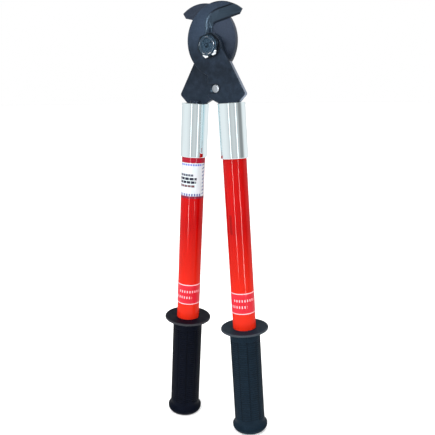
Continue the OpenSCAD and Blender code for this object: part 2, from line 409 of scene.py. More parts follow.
def metal_finish(name, tone, roughness, spread, scale, metallic=1.0):
    """Plain metal with small differences of tone and gloss."""
    p = Paint(name, metallic=metallic, roughness=roughness)
    rough = (0.8 * roughness, 1.25 * roughness)
    cover(p, p.noise(scale, 5.0, 0.65), darker(tone, 1 - spread), tone, rough, 0.00002, (0.35, 0.65))
    return p.material


def rim_highlight_finish(name, dark, bright, arcs):
    """Plated rim with painted highlights in arcs round the local z axis, arcs to the full turn, one at the
    top.
    """
    p = Paint(name, metallic=1.0, roughness=0.25)
    x, y, _ = p.parts(p.local)
    wave = p.math("COSINE", p.times(p.math("ARCTAN2", x, y), arcs))
    speck = p.ramp(p.noise(900.0, 4.0, 0.6), 0.3, 0.7, -0.3, 0.3)
    p.colour(p.mix(p.ramp(p.math("ADD", wave, speck), 0.35, 0.75), dark, bright))
    p.rough(p.ramp(wave, -1.0, 1.0, 0.4, 0.2))
    return p.material


def turned_finish(name, tone, roughness):
    """Steel with fine rings round the local z axis."""
    p = Paint(name, metallic=1.0, roughness=roughness)
    x, y, z = p.parts(p.local)
    radius = p.math("SQRT", p.math("ADD", p.times(x, x), p.times(y, y)))
    rings = p.noise(5000.0, 2.0, 0.5, p.node("CombineXYZ", {0: radius, 2: z}).outputs[0])
    cover(p, rings, darker(tone, 0.72), tone, (0.8 * roughness, 1.3 * roughness), 0.00002)
    return p.material


def chrome_finish():
    """Polished chrome, so smooth that it mirrors, with faint wipe marks."""
    p = Paint("polished_chrome", metallic=1.0, roughness=0.002)
    wipe = p.noise(90.0, 4.0, 0.6, p.scaled((1.0, 1.0, 0.2)))
    p.colour(p.mix(p.ramp(wipe, 0.3, 0.7), (0.8, 0.9, 0.93), (0.85, 0.955, 0.985)))
    p.rough(p.ramp(wipe, 0.35, 0.75, 0.001, 0.003))
    p.bump(p.noise(25.0, 2.0, 0.5), 0.000003, 0.3)
    return p.material


RED_DEEP = (0.28, 0.001, 0.001)
RED_BRIGHT = (0.4, 0.002, 0.0018)
RED_LOW = (0.6, 0.021, 0.0075)
# The tube gets lighter between these distances from pivot height, in metres
RED_FADE = (0.19, 0.3)
CRIMSON = (0.27, 0.008, 0.021)
CRIMSON_EDGE = (0.17, 0.012, 0.028)
RED_DARK_REFLECTION = (0.21, 0.0006, 0.0005)
# Painted dark reflection of the left handle on the right tube: degrees round from the front, then metres
# down from the pivot
REFLECTION_ROUND, REFLECTION_DOWN = (-20.0, -5.0), (0.173, 0.194)


def red_base(p, label, dark_reflection):
    """Pultruded fibreglass: faint streaks along the tube, lighter towards its lower end.

    label is (top, foot), its distances from pivot height. The tube is crimson above it and just below it.
    """
    fibres = p.noise(900.0, 3.0, 0.6, p.scaled((1.0, 1.0, 0.012)))
    clouds = p.noise(22.0, 2.0, 0.5)
    share = p.ramp(p.math("ADD", fibres, clouds), 0.7, 1.3)
    p.bump(p.noise(90.0, 2.0, 0.5, p.scaled((1.0, 1.0, 0.06))), 0.00002, 0.3)
    p.rough(p.ramp(fibres, 0.3, 0.7, 0.3, 0.42))
    x, y, z = p.parts(p.local)
    body = p.mix(p.ramp(z, *RED_FADE), p.mix(share, RED_DEEP, RED_BRIGHT), RED_LOW)
    # Painted dark reflection of the left handle, on the right tube only
    if dark_reflection:
        turn = p.math("DEGREES", p.math("ARCTAN2", x, y))
        area = patch(p, turn, z, REFLECTION_ROUND, REFLECTION_DOWN)
        body = p.mix(p.times(area, p.ramp(fibres, 0.3, 0.6, 0.6, 1.0)), body, RED_DARK_REFLECTION)
    if label:
        top, foot = label
        body = p.mix(p.math("LESS_THAN", z, top + 1 * MM), body, CRIMSON)
        body = p.mix(inside(p, z, foot - 1 * MM, foot + 2 * MM), body, CRIMSON_EDGE)
    return body


def red_finish(name, label=None, dark_reflection=False):
    """Red tube under a clear coat."""
    p = Paint(name, Specular_IOR_Level=0.0, **gloss(0.35, 0.03))
    p.colour(red_base(p, label, dark_reflection))
    return p.material


# How much lighter the rim of the guard is painted, as a highlight
RIM_HIGHLIGHT = 0.045


def rubber_finish(name, deep, light, rim):
    """Moulded rubber with a fine grain and a little dust.

    It is painted darker down in the relief, as shade, and lighter outside the radius rim, as a painted
    highlight.
    """
    p = Paint(name, Specular_IOR_Level=0.04)
    fine = p.noise(1100.0, 4.0, 0.75)
    dust = p.noise(120.0, 4.0, 0.6)
    tone = p.mix(p.ramp(dust, 0.35, 0.75), deep, light)
    depth = p.parts(p.attribute("relief"))[0]
    # Painted shade down in the relief
    tone = p.mix(p.ramp(depth, 0.2, 1.0, 0.0, 0.8), tone, darker(deep, 0.3))
    radius = p.node("VectorMath", {0: p.scaled((1.0, 1.0, 0.0))}, operation="LENGTH").outputs["Value"]
    # Painted highlight on the guard's rim
    tone = p.mix(p.ramp(radius, rim - 0.8 * MM, rim, 0.0, 0.8), tone, tuple(c + RIM_HIGHLIGHT for c in light))
    p.colour(p.mix(p.ramp(fine, 0.4, 0.7, 0.0, 0.6), tone, darker(light, 1.5)))
    p.rough(p.ramp(dust, 0.3, 0.7, 0.42, 0.6))
    p.bump(fine, 0.00005, 0.6)
    return p.material


def plastic_finish(name, tone, roughness=0.5):
    """Moulded plastic or foam with a faint cloud of tone and gloss."""
    p = Paint(name, roughness=roughness)
    rough = (0.85 * roughness, 1.1 * roughness)
    cover(p, p.noise(300.0, 4.0, 0.6), darker(tone, 0.85), tone, rough, 0.00003)
    return p.material


# Rows of ticks on a marker band in mm: distance from its top, height, start and length round it
BAND_ROWS = ((7.0, 2.6, 36.3, 24.6), (14.0, 2.7, 30.0, 21.2))


def band_finish(length, girth):
    """Printed wrap: a pale ring at each end and two rows of plain ticks between them, twice round.

    length and girth are in mm, as the print attribute is.
    """
    p = Paint("printed_red_wrap", Specular_IOR_Level=0.1, **gloss(0.4, 0.06))
    u, v, _ = p.parts(p.attribute("print"))
    red = p.mix(p.ramp(p.noise(60.0, 2.0), 0.3, 0.7), (0.48, 0.008, 0.019), (0.55, 0.014, 0.03))
    ring = 0.85
    ink = p.math("MAXIMUM", inside(p, v, -1.0, ring), inside(p, v, length - ring, length + 1.0))
    for top, height, start, reach in BAND_ROWS:
        along = p.math("FLOORED_MODULO", p.math("SUBTRACT", u, start), girth / 2)
        tick = p.times(p.math("LESS_THAN", along, reach), dashes(p, along, 3.0, 0.36))
        ink = p.math("MAXIMUM", ink, p.times(tick, inside(p, v, top, top + height)))
    p.colour(p.mix(ink, red, (0.8, 0.46, 0.5)))
    p.rough(p.ramp(ink, 0.0, 1.0, 0.36, 0.5))
    return p.material


# Inks of the label
DARK, GREY, BROWN = (0.008, 0.009, 0.022), (0.06, 0.066, 0.09), (0.11, 0.045, 0.052)
BLUE, NAVY, SLATE = (0.1, 0.13, 0.42), (0.045, 0.055, 0.2), (0.05, 0.07, 0.2)
# Bars on the label in mm: distance from its top, height, right end, period of the gaps, and ink
LABEL_BARS = (
    (12.0, 2.5, 30.5, 3.1, GREY), (15.8, 2.8, 34.5, 5.3, DARK),
    (19.6, 2.7, 34.0, 4.7, DARK), (23.9, 2.5, 32.5, 4.1, BROWN),
)


def label_finish(length, width):
    """Coated white label with plain rows of bars and dashes. length and width are in mm."""
    p = Paint("white_label", Specular_IOR_Level=0.2, **gloss(0.3, 0.12, 1.45))
    u, v, _ = p.parts(p.attribute("print"))
    paper = p.mix(p.ramp(p.noise(120.0, 3.0), 0.35, 0.65), (0.47, 0.535, 0.56), (0.51, 0.535, 0.575))

    def row(ground, across, down, along, period, share, ink):
        marks = p.times(patch(p, u, v, across, down), dashes(p, along, period, share))
        return p.mix(marks, ground, ink)

    for top, height, right, period, ink in LABEL_BARS:
        paper = row(paper, (6.5, right), (top, top + height), u, period, 0.88, ink)
    across = (3.0, width - 6.0)
    paper = row(paper, across, (0.9, 3.0), u, 2.7, 0.72, BLUE)
    paper = row(paper, across, (length - 3.6, length - 0.9), u, 2.9, 0.58, NAVY)
    slanted = p.math("ADD", v, p.times(u, 0.45))
    paper = row(paper, (width - 5.2, width - 1.9), (1.0, length - 3.0), slanted, 4.0, 0.42, SLATE)
    p.colour(p.mix(p.math("GREATER_THAN", v, length - 0.8), paper, (0.16, 0.02, 0.06)))
    p.rough(p.ramp(p.noise(200.0, 3.0), 0.3, 0.7, 0.36, 0.48))
    return p.material


# ---------------- jaws

# Material slots of a jaw: oxide, ground bevel, worn edge, outer wall with a painted highlight, steep face
# painted darker as shade
OXIDE, GROUND, WORN, WALL, STEEP = range(5)

JAW_ROUND, JAW_ROUND_STEPS = 0.7 * MM, 3
PLANE_TOL = 0.03 * MM
UPRIGHT_TOL = 0.01 * MM
# CAD facets within this angle are one face
FLAT_ANGLE = math.radians(0.3)
# No rounding round the pivot's bore, or down the shank inside the ferrule
BORE_REACH, SHANK_REACH, SHANK_TOP = 9.5 * MM, 6.3 * MM, 52 * MM
# Edges of a face and upright edges sharper than these angles, in degrees, are rounded
FACE_EDGE, UPRIGHT_EDGE, UPRIGHT_LENGTH = 80, 24, 2 * MM
# The flat of the blade is looked for this close to the pivot
BLADE_REACH = 14 * MM
# Sizes of the front part of a face's normal: upright walls are below the first, flat faces above the last
WALL_NORMAL, STEEP_NORMAL, FLAT_NORMAL = 0.2, 0.93, 0.998
OUTWARD_NORMAL = 0.3
# Heights over the pivot: the bevels lie above the first, the tang's outer wall with its painted highlight
# between the others
BEVEL_FOOT, WALL_FOOT, WALL_TOP = 5 * MM, -54 * MM, -14 * MM


def rounds(edge, face_y, handle):
    """True for the edges of a jaw forging that are broken or forged round."""
    if len(edge.link_faces) != 2:
        return False
    a, b = (v.co for v in edge.verts)
    middle = (a + b) / 2
    if math.hypot(middle.x - PIVOT.x, middle.z - PIVOT.z) < BORE_REACH:
        return False
    in_handle = handle.inverted() @ middle
    if math.hypot(in_handle.x, in_handle.y) < SHANK_REACH and in_handle.z > SHANK_TOP:
        return False
    angle = math.degrees(edge.calc_face_angle(0))
    if all(abs(abs(p.y) - face_y) < PLANE_TOL for p in (a, b)):
        return angle > FACE_EDGE
    upright = math.hypot(a.x - b.x, a.z - b.z) < UPRIGHT_TOL and abs(a.y - b.y) > UPRIGHT_LENGTH
    return upright and angle > UPRIGHT_EDGE


def jaw_slot(face, outward):
    """Material slot of a face of a jaw. outward is the sign of x on the outer side of its tang."""
    if face.material_index == WORN:
        return WORN
    normal, centre = face.normal, face.calc_center_median() - PIVOT
    if WALL_NORMAL < abs(normal.y) < FLAT_NORMAL and centre.z > BEVEL_FOOT:
        # Steep bevel faces that face down are painted darker, as shade
        faces_down = abs(normal.y) < STEEP_NORMAL and -normal.z > abs(normal.x)
        return STEEP if faces_down else GROUND
    # The tang's outer wall gets a light finish as a painted highlight
    outer = normal.x * outward > OUTWARD_NORMAL and abs(normal.y) < WALL_NORMAL
    return WALL if outer and WALL_FOOT < centre.z < WALL_TOP else OXIDE


def jaw(name, node, side, materials):
    """The CAD forging with its outer edges rounded. Each kind of face gets its own finish."""
    bm = bmesh.new()
    bm.from_mesh(NODES[node].data)
    bmesh.ops.remove_doubles(bm, verts=bm.verts, dist=0.001 * MM)
    bmesh.ops.dissolve_limit(bm, angle_limit=FLAT_ANGLE, verts=bm.verts, edges=bm.edges)
    face_y = max(abs(v.co.y) for v in bm.verts if math.hypot(v.co.x, v.co.z - PIVOT.z) < BLADE_REACH)
    edges = [e for e in bm.edges if rounds(e, face_y, HANDLE[side])]
    bmesh.ops.bevel(
        bm, geom=edges, offset=JAW_ROUND, offset_type="OFFSET", segments=JAW_ROUND_STEPS, profile=0.5,
        affect="EDGES", clamp_overlap=False, material=WORN)
    for face in bm.faces:
        face.normal_update()
        face.material_index = jaw_slot(face, 1 if side == "right" else -1)
    mesh = bpy.data.meshes.new(name)
    bm.to_mesh(mesh)
    bm.free()
    for material in materials:
        mesh.materials.append(material)
    inverse = PIVOT_FRAME.inverted()
    add_vectors(mesh, "local", [inverse @ v.co for v in mesh.vertices])
    return finish_piece(name, mesh, BODY[side], (node,), 32)


# ---------------- pivot

def hexagon_turn(node):
    """Angle of a corner of a CAD hexagon round the pivot."""
    points = [PIVOT_FRAME.inverted() @ v.co for v in NODES[node].data.vertices]
    corner = max(points, key=lambda p: math.hypot(p.x, p.y))
    return math.atan2(corner.x, corner.y)


HEX_TURN = hexagon_turn("pivot_bolt")
SIXTH = math.pi / 3
# Material slots of the nut: painted highlights, faces, rim with painted highlights, flats in painted
# shade. The bolt has the first two
BRIGHT, FACING, RIM, FLATS = range(4)
# The nut's cone gets a painted highlight this far to either side of a corner
CORNER_HIGHLIGHT = math.radians(17)
# The highlight is painted at the corners this close to a direction a little to the right of straight down
LIT_SIDE, LIT_SPREAD = math.radians(160), math.radians(54)
# Radius of the threaded bolt, its pitch and the depth of its ridges
BOLT_R, PITCH, THREAD_DEPTH = 7.0 * MM, 1.0 * MM, 0.45 * MM


def hexagon_radius(apothem, corner):
    """Radius of a hexagon with slightly rounded corners as a function of the angle."""
    def radius(a):
        from_flat = (a - HEX_TURN) % SIXTH - SIXTH / 2
        return min(apothem / math.cos(from_flat), corner)
    return radius


def hexagon_part(shape, low, high, apothem, chamfer_high, flats=BRIGHT):
    """Hexagonal prism whose corners are cut by a cone at one end. Returns its two end rings.

    flats is the material slot of all but the part of the cone with painted highlights.
    """
    corner = apothem / math.cos(SIXTH / 2) - 0.25 * MM
    face = apothem - 1.0 * MM
    radius = hexagon_radius(apothem, corner)
    drop, steps = (corner - face) / 2, 6
    levels = [(low, corner - 0.15 * MM), (low + 0.15 * MM, corner), (high - drop, corner)]
    for k in range(1, steps + 1):
        levels.append((high - drop + drop * k / steps, corner - (corner - face) * k / steps))
    if not chamfer_high:
        levels = [(low + high - t, r) for t, r in reversed(levels)]
    rings = []
    for t, limit in levels:
        rings.append(shape.ring(circle(lambda a: min(radius(a), limit), t, FINE)))
    for k in range(len(rings) - 1):
        limit = (levels[k][1] + levels[k + 1][1]) / 2
        for i in range(FINE):
            j = (i + 1) % FINE
            a = math.tau * (i + 0.5) / FINE
            # Corners of the cone on the lower side get a painted highlight
            slot = BRIGHT if limit < radius(a) and is_highlit(a) else flats
            shape.face((rings[k][i], rings[k][j], rings[k + 1][j], rings[k + 1][i]), slot)
    return rings[0], rings[-1]


def is_highlit(a):
    """True at the angles where the cone of a hexagon gets a painted highlight."""
    from_corner = abs((a - HEX_TURN + SIXTH / 2) % SIXTH - SIXTH / 2)
    return from_corner < CORNER_HIGHLIGHT and abs(a - LIT_SIDE) < LIT_SPREAD


def thread_profile(low, high, radius, pitch, depth):
    """(along, radius) points of plain thread ridges from low to high."""
    points, t = [], low
    while t < high - pitch:
        points += [(t, radius), (t + 0.25 * pitch, radius), (t + 0.6 * pitch, radius - depth)]
        t += pitch
    return points


def pivot_nut(materials):
    """Low hexagon nut with a round collar, which has a recess for the lock ring."""
    low, high, _ = span("pivot_nut", PIVOT_FRAME)
    apothem = span("pivot_bolt", PIVOT_FRAME)[2] * math.cos(SIXTH / 2)
    collar, bore, recess = 8.7 * MM, 7.05 * MM, 7.9 * MM
    hex_top, recess_floor = low + 3.8 * MM, high - 1.2 * MM
    shape = Shape()
    # The flats and the rest of the cone are painted dark as shade
    first, last = hexagon_part(shape, low, hex_top, apothem, True, FLATS)

    # The collar's rim gets painted highlights in arcs
    def finish(along, radius):
        return RIM if collar - 0.42 * MM < radius < collar + 0.02 * MM else FACING

    outside = lathe(shape, fillet([
        (hex_top, collar + 0.9 * MM, 0), (hex_top + 0.05 * MM, collar + 0.1 * MM, 0.3 * MM),
        (high, collar, 0.5 * MM), (high, recess, 0.2 * MM),
        (recess_floor, recess, 0), (recess_floor, bore, 0), (low, bore, 0),
    ]), FINE, slot=finish)
    shape.skin(last, outside[0], FACING)
    shape.skin(outside[-1], first)
    return make("Pivot_nut", shape, PIVOT_FRAME, materials, BODY["left"], ("pivot_nut",))


def pivot_bolt(materials):
    """Hexagon head behind, plain shank, threaded end with a centre hole in front."""
    low, high, corner = span("pivot_bolt", PIVOT_FRAME)
    apothem = corner * math.cos(SIXTH / 2)
    head_top, dish_floor, thread_top = low + 7 * MM, low + 0.4 * MM, high - 0.6 * MM
    shape = Shape()
    first, last = hexagon_part(shape, low, head_top, apothem, False)
    dish = [(low, apothem - 1.2 * MM, 0), (dish_floor, apothem - 2.0 * MM, 0.6 * MM), (dish_floor, 0, 0)]
    inner = lathe(shape, fillet(dish), FINE)
    shape.skin(first, inner[0])
    body = [(head_top, BOLT_R + 0.3 * MM), (head_top + 0.4 * MM, BOLT_R)]
    body += thread_profile(high - 7.6 * MM, thread_top, BOLT_R, PITCH, THREAD_DEPTH)
    body += [(thread_top, BOLT_R - 0.1 * MM), (high, BOLT_R - 0.8 * MM), (high, 2.2 * MM)]
    body += [(high - 0.9 * MM, 1.2 * MM), (high - 1.6 * MM, 0)]

    def finish(along, radius):
        return FACING if along > high - 2 * MM and radius < 6.7 * MM else BRIGHT

    outside = lathe(shape, body, FINE, slot=finish)
    shape.skin(last, outside[0])
    return make(
        "Pivot_bolt", shape, PIVOT_FRAME, materials, BODY["left"], ("pivot_bolt",), 30)


def ring_piece(name, node, material, bore, edges, slope=0.0, n=FINE):
    """Ring round the bolt. edges are the roundings of its section, slope the drop of its front."""
    low, high, outer = span(node, PIVOT_FRAME)
    corners = ((low, bore), (high, bore), (high - slope, outer), (low, outer))
    section = [(*corner, edge) for corner, edge in zip(corners, edges)]
    shape = Shape()
    lathe(shape, fillet(section, closed=True), n, closed=True)
    return make(name, shape, PIVOT_FRAME, (material,), BODY["left"], (node,))


def stop_pin(materials):
    """Round pin through the rear jaw with a turned front face."""
    lo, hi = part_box("stop_pin")
    matrix = PIVOT_FRAME.copy()
    matrix.translation = ((lo.x + hi.x) / 2, PIVOT.y, (lo.z + hi.z) / 2)
    low, high, radius = span("stop_pin", matrix)
    shape = Shape()
    lathe(shape, fillet([
        (low, 0, 0), (low, radius, 0.5 * MM), (high - 0.35 * MM, radius, 0.5 * MM),
        (high - 0.05 * MM, radius - 1.2 * MM, 0.8 * MM), (high, 0, 0),
    ]), COARSE)
    return make("Stop_pin", shape, matrix, materials, BODY["left"], ("stop_pin",), 50)


# ---------------- handles

FERRULE_WALL, FERRULE_CAP, SHANK_BORE, ROLLED_EDGE = 1.75 * MM, 2.5 * MM, 6.1 * MM, 0.9 * MM
# Hole for the locking screw: its radius, and the window in the sleeve's mesh that is fitted round it
HOLE_R, WINDOW_HALF = 3.1 * MM, 5 * MM
WINDOW_COLUMNS, WINDOW_ROWS = 20, 10
WINDOW_FIRST = (FINE - WINDOW_COLUMNS) // 2
WINDOW_LAST = WINDOW_FIRST + WINDOW_COLUMNS


def ferrule(side, materials):
    """Polished sleeve with rolled edges and a hole for the locking screw at the back."""
    node = side + "_ferrule"
    low, high, outer = span(node, HANDLE[side])
    bore, cap = outer - FERRULE_WALL, low + FERRULE_CAP
    screw_t = sum(span(side + "_ferrule_screw", HANDLE[side])[:2]) / 2
    above, below = screw_t - WINDOW_HALF, screw_t + WINDOW_HALF
    shape = Shape()
    top = lathe(shape, fillet([(low, SHANK_BORE, 0), (low, outer, ROLLED_EDGE), (above, outer, 0)]), FINE)
    foot = lathe(shape, fillet([
        (below, outer, 0), (high, outer, ROLLED_EDGE), (high, bore, 0.3 * MM), (cap, bore, 0),
        (cap, SHANK_BORE, 0)]), FINE)
    shape.skin(foot[-1], top[0])
    rows = [top[-1]]
    for k in range(1, WINDOW_ROWS):
        rows.append(shape.ring(circle(outer, above + 2 * WINDOW_HALF * k / WINDOW_ROWS, FINE)))
    rows.append(foot[0])
    for a, b in zip(rows, rows[1:]):
        for i in range(FINE):
            j = (i + 1) % FINE
            if not WINDOW_FIRST <= i < WINDOW_LAST:
                shape.face((a[i], a[j], b[j], b[i]))
    hole_rings(shape, window_loop(rows), outer, screw_t)
    return make("Ferrule_" + side, shape, HANDLE[side], materials, BODY[side], (node,))


def window_loop(rows):
    """Points round the window that is left open in the rows of a sleeve."""
    loop = [rows[0][i] for i in range(WINDOW_FIRST, WINDOW_LAST)]
    loop += [row[WINDOW_LAST] for row in rows[:-1]]
    loop += [rows[-1][i] for i in range(WINDOW_LAST, WINDOW_FIRST, -1)]
    return loop + [row[WINDOW_FIRST] for row in reversed(rows[1:])]


def hole_rings(shape, loop, outer, screw_t):
    """Fills the window between a loop on the sleeve and its round hole, and adds the hole's wall."""
    on_sleeve = [shape.points[i] for i in loop]
    flat = [(math.atan2(p.x, -p.y) * outer, p.z - screw_t) for p in on_sleeve]
    turns = [math.atan2(v, u) for u, v in flat]
    levels, steps = [], 5
    for k in range(1, steps + 1):
        s = k / steps
        level = []
        for (u, v), a in zip(flat, turns):
            x, t = u * (1 - s) + HOLE_R * math.cos(a) * s, v * (1 - s) + HOLE_R * math.sin(a) * s
            level.append((outer * math.sin(x / outer), -outer * math.cos(x / outer), screw_t + t))
        levels.append(level)
    floor, wall = 1.6 * MM, 0.96 * HOLE_R
    for depth in (0.25 * MM, floor):
        flat = [(wall * math.cos(a), wall * math.sin(a)) for a in turns]
        levels.append([(x, -math.sqrt(outer ** 2 - x * x) + depth, screw_t + t) for x, t in flat])
    rings = [loop] + [shape.ring(level) for level in levels]
    shape.loft(rings)
    shape.cap(rings[-1], (0, -outer + floor, screw_t))


def ferrule_screw(side, materials):
    """Headless screw with a hexagon socket, at the back of the ferrule."""
    node = side + "_ferrule_screw"
    lo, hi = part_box(node)
    matrix = local_frame((1, 0, 0), (0, 0, -1), (0, 1, 0), ((lo.x + hi.x) / 2, 0, (lo.z + hi.z) / 2))
    low, high, radius = span(node, matrix)
    socket, lip_width = hexagon_radius(1.5 * MM, 1.7 * MM), 0.12 * MM
    shape = Shape()
    profile = [(low, 0), (low, radius - 0.6 * MM), (low + 0.6 * MM, radius)]
    profile += thread_profile(low + 0.8 * MM, high - 0.6 * MM, radius, PITCH, 0.4 * MM)
    profile += [(high - 0.5 * MM, radius), (high, radius - 0.5 * MM)]
    outside = lathe(shape, profile, COARSE)
    mouth = shape.ring(circle(lambda a: socket(a) + lip_width, high, COARSE))
    lip = shape.ring(circle(socket, high - lip_width, COARSE))
    floor = shape.ring(circle(socket, high - 2.6 * MM, COARSE))
    shape.loft([outside[-1], mouth, lip, floor])
    shape.cap(floor, (0, 0, high - 3.0 * MM))
    name = "Ferrule_screw_" + side
    return make(name, shape, matrix, materials, BODY[side], (node,), 30)


def tube(side, materials):
    """Fibreglass tube with slightly rounded ends."""
    node = side + "_tube"
    low, high, outer = span(node, HANDLE[side])
    bore, inside_edge, outside_edge = outer - 3 * MM, 0.2 * MM, 0.4 * MM
    section = [(low, bore, inside_edge), (low, outer, outside_edge)]
    section += [(high, outer, outside_edge), (high, bore, inside_edge)]
    shape = Shape()
    lathe(shape, fillet(section, closed=True), FINE, closed=True)
    return make("Tube_" + side, shape, HANDLE[side], materials, BODY[side], (node,))


# Mesh of a wrap: columns round it and rows down it
WRAP_COLUMNS, WRAP_ROWS = 120, 24


def wrapped(name, node, side, materials, sweep, inner, rounding):
    """Thin wrap on the tube, sweep degrees round. Its print attribute is (mm round, mm down)."""
    low, high, outer = span(node, HANDLE[side])
    closed = sweep >= 360
    half = math.radians(sweep) / 2
    shape, prints = Shape(), []

    def sheet(radius):
        grid = []
        for i in range(WRAP_ROWS + 1):
            v = i / WRAP_ROWS
            points = []
            for j in range(WRAP_COLUMNS + (0 if closed else 1)):
                a = -half + 2 * half * j / WRAP_COLUMNS
                u_edge, v_edge = outer * (half - abs(a)), min(v, 1 - v) * (high - low)
                pull = corner_pull(u_edge, v_edge, rounding) if not closed else 0.0
                t = low + v * (high - low) + (pull if v < 0.5 else -pull)
                points.append((radius * math.sin(a), radius * math.cos(a), t))
                prints.append(((a + half) * outer / MM, (t - low) / MM, 0.0))
            grid.append(shape.ring(points))
        return grid

    out, back = sheet(outer), sheet(inner)
    shape.loft(out, closed)
    shape.loft(back, closed)
    for k in (0, -1):
        shape.skin(out[k], back[k], closed=closed)
    if not closed:
        for j in (0, -1):
            shape.skin([row[j] for row in out], [row[j] for row in back], closed=False)
    attributes = {"print": prints}
    return make(name, shape, HANDLE[side], materials, BODY[side], (node,), attributes=attributes)


def corner_pull(u_edge, v_edge, rounding):
    """How far a point near a rounded corner of a label moves in from the edge."""
    if u_edge >= rounding or v_edge >= rounding:
        return 0.0
    reach = rounding - math.sqrt(max(0.0, rounding ** 2 - (rounding - u_edge) ** 2))
    return reach * (1 - v_edge / rounding)


# ---------------- grips

# Moulded relief: columns of ribs round the grip, staggered, with a groove between the columns
GRIP_COLUMNS = 10
RIB_PITCH = 2.6 * MM
RIB_HEIGHT = 0.5 * MM
GROOVE_DEPTH = 0.8 * MM
GROOVE_HALF = math.radians(3.0)
GRIP_TURN = math.radians(-4)
RELIEF_FADE = 0.8 * MM
RINGS_PER_RIB = 6

GRIP_R, GRIP_END_R = 16.9 * MM, 19.8 * MM
GUARD_THICK, GUARD_EDGE = 2.5 * MM, 1.3 * MM
GRIP_SEGMENTS = 200


def rib_height(t, angle, top, foot):
    """Height of the relief over the grip's surface, between the distances top and foot."""
    if not top < t < foot:
        return 0.0
    fade = min(1.0, (t - top) / RELIEF_FADE, (foot - t) / RELIEF_FADE)
    column = (angle - GRIP_TURN) / math.tau * GRIP_COLUMNS
    place = column - math.floor(column)
    from_groove = min(place, 1 - place) * math.tau / GRIP_COLUMNS
    groove = max(0.0, 1 - from_groove / GROOVE_HALF)
    shift = 0.5 * RIB_PITCH * (math.floor(column) % 2)
    wave = 0.5 + 0.5 * math.cos(math.tau * (t + shift) / RIB_PITCH)
    rib = RIB_HEIGHT * (wave ** 0.7 - 1)
    return fade * (rib * (1 - groove) - GROOVE_DEPTH * groove)


def guard_profile(low, guard, seat, ribs_top):
    """(along, radius) points from the grip's seat on the tube, over the guard and down to the ribs."""
    guard_low = low + GUARD_THICK
    return fillet([
        (low + 6 * MM, seat, 0), (low + 0.2 * MM, seat, 0.5 * MM), (low, seat + 1.55 * MM, 0.5 * MM),
        (low, guard, GUARD_EDGE), (guard_low, guard, GUARD_EDGE),
        (guard_low, GRIP_R, 3.6 * MM), (ribs_top - 1 * MM, GRIP_R, 0),
    ], steps=8)


def end_profile(high, ribs_foot):
    """(along, radius) points of the flared, beaded end of a grip."""
    flare, bead = high - 9 * MM, GRIP_END_R - 0.15 * MM
    return fillet([
        (ribs_foot + 1 * MM, GRIP_R, 0), (flare - 1 * MM, GRIP_R, 1.5 * MM),
        (flare + 3.0 * MM, GRIP_END_R - 0.2 * MM, 1.4 * MM), (high - 6.2 * MM, GRIP_END_R, 0.4 * MM),
        (high - 5.7 * MM, GRIP_END_R - 0.8 * MM, 0.2 * MM), (high - 5.0 * MM, bead, 0.5 * MM),
        (high - 3.6 * MM, bead, 1 * MM), (high, GRIP_END_R - 2.2 * MM, 3.2 * MM),
        (high, 6 * MM, 0.3 * MM), (high - 0.5 * MM, 5 * MM, 0.3 * MM), (high - 0.5 * MM, 0, 0),
    ], steps=8)


def grip(side, materials):
    """Rubber grip: guard flange, ribbed body and flared end. Its relief attribute is 1 at a rib's foot."""
    node, n = side + "_grip", GRIP_SEGMENTS
    low, high, guard = span(node, HANDLE[side])
    seat = span(side + "_tube", HANDLE[side])[2] + 0.05 * MM
    ribs_top, ribs_foot = low + 12 * MM, high - 15 * MM
    steps = int((ribs_foot - ribs_top) / RIB_PITCH * RINGS_PER_RIB)
    profile = guard_profile(low, guard - 0.02 * MM, seat, ribs_top)
    profile += [(ribs_top + (ribs_foot - ribs_top) * k / steps, GRIP_R) for k in range(steps + 1)]
    profile += end_profile(high, ribs_foot)
    shape = Shape()
    rings, relief = [], []
    for t, r in profile:
        if r > AXIS_TOL:
            rings.append(shape.ring(circle(lambda a: r + rib_height(t, a, ribs_top, ribs_foot), t, n)))
            depths = (rib_height(t, math.tau * i / n, ribs_top, ribs_foot) for i in range(n))
            relief += [(-depth / RIB_HEIGHT, 0.0, 0.0) for depth in depths]
    shape.loft(rings)
    shape.cap(rings[-1], (0, 0, high - 0.5 * MM))
    inner = shape.ring(circle(seat, high - 8 * MM, n))
    shape.skin(rings[0], inner)
    shape.cap(inner, (0, 0, high - 8 * MM))
    relief += [(0.0, 0.0, 0.0)] * (len(shape.points) - len(relief))
    return make(
        "Grip_" + side, shape, HANDLE[side], materials, BODY[side], (node,), 60,
        attributes={"relief": relief})


# ---------------- pieces

# Colours of the blackened steel: tangs, the two blades, worn edges, outer walls painted light as a
# highlight, bevels and steep bevels painted dark as shade
TANG = (0.009, 0.016, 0.027)
FRONT_BLADE, REAR_BLADE = (0.037, 0.06, 0.1), (0.042, 0.058, 0.092)
EDGE_TANG, EDGE_BLADE = (0.022, 0.031, 0.044), (0.04, 0.054, 0.075)
WALL_HIGHLIGHT = (0.19, 0.225, 0.29)
GROUND_TINT = (0.03, 0.049, 0.072)
STEEP_SHADE_TANG, STEEP_SHADE_BLADE = (0.012, 0.018, 0.028), (0.016, 0.026, 0.042)
# Middle of the painted pool of light on the rear blade, and the patch beside the stop pin that is rubbed
# and painted lighter as lit, in mm from the pivot
REAR_LIGHT_CENTRE, RUBBED_LIT_PATCH = (12.0, 20.0), (-2.8, -46.0, 3.0, -41.8)
# Deep and light tones of the rubber: the left grip is painted darker as shade, the right one lighter as
# lit
RUBBER_LIT_AND_SHADED = {
    "left": ((0.0005, 0.0012, 0.0042), (0.002, 0.0034, 0.0082)),
    "right": ((0.0034, 0.0088, 0.0155), (0.0064, 0.0142, 0.0235)),
}
LABEL_SWEEP = 208
# Roundings of the lock ring and of the washers: bore behind and in front, rim in front and behind
RING_EDGES = (0.1 * MM, 0.25 * MM, 0.2 * MM, 0.1 * MM)
WASHER_EDGES = (0.15 * MM, 0.15 * MM, 0.4 * MM, 0.4 * MM)


